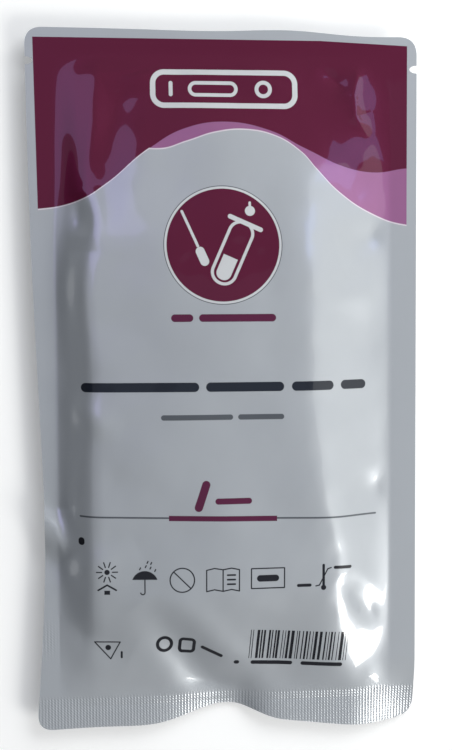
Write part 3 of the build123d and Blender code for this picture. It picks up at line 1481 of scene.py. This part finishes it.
@dataclass(frozen=True)
class PrintedFilm:
    """Finish of the front sheet: pearl film over foil, its print and a clear gloss coat."""

    pearl: Pearl = Pearl(0.05)
    palette: Palette = Palette()
    layout: Print = field(default_factory=Print)
    ink_specular: float = 0.15
    coat: float = 1.0
    coat_roughness: float = 0.035
    coat_ior: float = 1.5

    def layers(self, pen: Drawing) -> list[tuple[Wire, Ink]]:
        """The layers of the print, from the lowest up.

        Args:
            pen: draws on the film's plane.

        Returns:
            How much of a place each layer covers, and its ink.
        """
        ink, layout = self.palette, self.layout
        dark, band, edge_line = layout.header(pen)
        outer, ring, disc, drawing = layout.emblem_parts(pen)
        return [
            (band, ink.band),
            (dark, ink.header),
            (edge_line, ink.edge_line),
            (layout.cassette_sign(pen), ink.white),
            (outer, ink.slate),
            (ring, ink.white),
            (disc, ink.header),
            (drawing, ink.white),
            (layout.slate_shapes(pen), ink.slate),
            (layout.navy_shapes(pen), ink.navy),
            (layout.plum_shapes(pen), ink.plum),
            (layout.black_shapes(pen), ink.black),
        ]

    def material(self) -> bpy.types.Material:
        """Makes the material.

        Returns:
            The material.
        """
        made, kit = new_material("printed_film")
        here = kit.here()
        layers = self.layers(Drawing(kit, here.math("MULTIPLY", (1.0, 1.0, 0.0))))
        clouds = self.pearl.clouds(kit, here)
        colour = self.pearl.colour(kit, clouds)
        metallic = self.pearl.varied(clouds, self.pearl.ink.metallic)
        roughness = self.pearl.varied(clouds, self.pearl.ink.roughness)
        for mask, ink in layers:
            colour = kit.mix(mask, colour, (*ink.colour, 1.0))
            metallic = metallic + mask * (ink.metallic - metallic)
            roughness = roughness + mask * (ink.roughness - roughness)
        inputs = {
            "Base Color": colour,
            "Metallic": metallic,
            "Roughness": roughness,
            "Specular IOR Level": self.ink_specular,
            "Coat Weight": self.coat,
            "Coat Roughness": self.coat_roughness,
            "Coat IOR": self.coat_ior,
            "Normal": self.pearl.grain(kit, here),
        }
        kit.surface(kit.node("ShaderNodeBsdfPrincipled", None, inputs))
        return made


@dataclass(frozen=True)
class PlainFilm:
    """Finish of the back sheet and the cut edge: unprinted pearl film over foil."""

    pearl: Pearl = Pearl(0.06)
    coat: float = 1.0
    coat_roughness: float = 0.05

    def material(self) -> bpy.types.Material:
        """Makes the material.

        Returns:
            The material.
        """
        made, kit = new_material("plain_film")
        here = kit.here()
        clouds = self.pearl.clouds(kit, here)
        inputs = {
            "Base Color": self.pearl.colour(kit, clouds),
            "Metallic": self.pearl.ink.metallic,
            "Roughness": self.pearl.varied(clouds, self.pearl.ink.roughness),
            "Coat Weight": self.coat,
            "Coat Roughness": self.coat_roughness,
            "Normal": self.pearl.grain(kit, here),
        }
        kit.surface(kit.node("ShaderNodeBsdfPrincipled", None, inputs))
        return made


@dataclass(frozen=True)
class Panel:
    """A flat panel that lights the pouch or is mirrored in it."""

    name: str
    towards: Point3
    away: float
    size: Point
    radiance: float
    tint: Point3 = (1.0, 1.0, 1.0)
    mirrored: bool = True

    def place(self, thing: bpy.types.Object) -> None:
        """Puts something at the panel's place, facing the pouch.

        Args:
            thing: the lamp or the card.
        """
        way = Vector(self.towards).normalized()
        thing.location = way * self.away
        thing.rotation_euler = way.to_track_quat("Z", "Y").to_euler()
        bpy.context.scene.collection.objects.link(thing)
        thing.visible_camera = False
        thing.visible_glossy = self.mirrored

    def lamp(self) -> None:
        """Makes the panel as an area lamp."""
        data = bpy.data.lights.new(self.name, "AREA")
        data.shape = "RECTANGLE"
        data.size, data.size_y = self.size
        data.energy = self.radiance * math.pi * self.size[0] * self.size[1]
        data.color = self.tint
        self.place(bpy.data.objects.new(self.name, data))

    def card(self) -> None:
        """Makes the panel as a card that only reflections see."""
        made, kit = new_material(self.name)
        glow = {"Color": (*self.tint, 1.0), "Strength": self.radiance}
        kit.surface(kit.node("ShaderNodeEmission", None, glow))
        thing = bpy.data.objects.new(self.name, flat_mesh(self.name, *self.size, made))
        self.place(thing)
        thing.visible_diffuse = False
        thing.visible_shadow = False


@dataclass
class Studio:
    """Floor, light and camera."""

    camera_place: Point3 = (-33.87, 23.28, 357.82)
    camera_aim: Point3 = (0.25, 2.93, 5.0)
    camera_roll: float = -0.3
    frame_height: float = 36.0
    lens: float = 59.8
    floor_side: float = 6.0
    floor_grey: float = 0.86
    floor_glow: float = 0.22
    sky: float = 0.25
    sky_tint: Point3 = (0.94, 0.98, 1.05)

    lamps: tuple[Panel, ...] = (
        Panel("window", (0.69, -0.50, 0.54), 1.4, (0.6, 0.52), 11.0, (1.0, 0.99, 0.95)),
        Panel("bright_wall", (0.86, 0.12, 0.50), 0.62, (0.98, 0.5), 0.82, (1.0, 1.02, 0.98)),
        Panel("skylight", (0.42, 0.6, 0.68), 0.6, (0.53, 0.34), 3.5, (0.98, 1.0, 1.02), False),
    )
    cards: tuple[Panel, ...] = (
        Panel("dark_room", (-1.0, 0.0, 0.2), 1.6, (4.4, 1.9), 0.05, (0.95, 1.0, 1.1)),
        Panel("ceiling", (0.06, -0.15, 0.99), 2.0, (1.5, 1.1), 0.34, (0.92, 1.0, 1.14)),
        Panel("blue_window", (0.56, 0.34, 0.76), 1.2, (0.3, 0.3), 1.25, (0.6, 0.75, 1.5)),
        Panel("cool_wall", (-0.50, 0.43, 0.75), 1.5, (0.82, 1.2), 1.2, (0.78, 0.72, 1.3)),
    )

    def floor(self) -> None:
        """Makes a white floor that keeps the pouch's shadow."""
        made, kit = new_material("floor")
        rays = kit.node("ShaderNodeLightPath")
        kinds = ("Is Camera Ray", "Is Glossy Ray", "Is Transmission Ray")
        camera, glossy, through = (Wire(kit, rays.outputs[kind]) for kind in kinds)
        grey = (self.floor_grey, self.floor_grey, self.floor_grey, 1.0)
        matt = kit.node("ShaderNodeBsdfDiffuse", None, {"Color": grey})
        seen = camera.most(glossy, through)
        glow = kit.node("ShaderNodeEmission", None, {"Strength": seen * self.floor_glow})
        kit.surface(kit.node("ShaderNodeAddShader", None, {0: matt.outputs[0], 1: glow.outputs[0]}))
        thing = bpy.data.objects.new("floor", flat_mesh("floor", self.floor_side, self.floor_side, made))
        bpy.context.scene.collection.objects.link(thing)

    def light(self) -> None:
        """Makes the even light of the room, the lamps and the cards."""
        world = bpy.data.worlds.new("room")
        world.use_nodes = True
        kit = NodeKit(world.node_tree)
        rays = kit.node("ShaderNodeLightPath")
        strength = Wire(kit, rays.outputs["Is Camera Ray"]).straight(1.0 - self.sky, self.sky)
        sky = {"Color": (*self.sky_tint, 1.0), "Strength": strength}
        kit.surface(kit.node("ShaderNodeBackground", None, sky), "ShaderNodeOutputWorld")
        bpy.context.scene.world = world
        for panel in self.lamps:
            panel.lamp()
        for panel in self.cards:
            panel.card()

    def camera(self) -> None:
        """Puts the camera at the photograph's viewing angle."""
        data = bpy.data.cameras.new("camera")
        data.sensor_fit = "VERTICAL"
        data.sensor_height = self.frame_height
        data.lens = self.lens
        thing = bpy.data.objects.new("camera", data)
        bpy.context.scene.collection.objects.link(thing)
        place, aim = Vector(self.camera_place) * MM, Vector(self.camera_aim) * MM
        ahead = (aim - place).normalized()
        roll = Matrix.Rotation(math.radians(self.camera_roll), 3, -ahead)
        right = roll @ ahead.cross(Vector((0, 1, 0))).normalized()
        up = right.cross(ahead)
        thing.matrix_world = Matrix((
            (right.x, up.x, -ahead.x, place.x),
            (right.y, up.y, -ahead.y, place.y),
            (right.z, up.z, -ahead.z, place.z),
            (0, 0, 0, 1),
        ))
        bpy.context.scene.camera = thing


def main() -> None:
    """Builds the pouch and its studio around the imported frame."""
    logging.basicConfig(level=logging.INFO, format="%(message)s")
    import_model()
    studio = Studio()
    studio.camera()
    studio.floor()
    studio.light()
    low, high = (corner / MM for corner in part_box("foil_pouch"))
    form = FilmForm(left=low.x, right=high.x, foot=low.y, head=high.y)
    film = SealedFilm(form).build()
    film.data.materials.append(PrintedFilm().material())
    film.data.materials.append(PlainFilm().material())
    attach(film, "root")
    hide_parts("foil_pouch")
    log.info("sealed_film: %d faces", len(film.data.polygons))
    bpy.context.scene.view_settings.view_transform = "Standard"


if __name__ == "__main__":
    main()
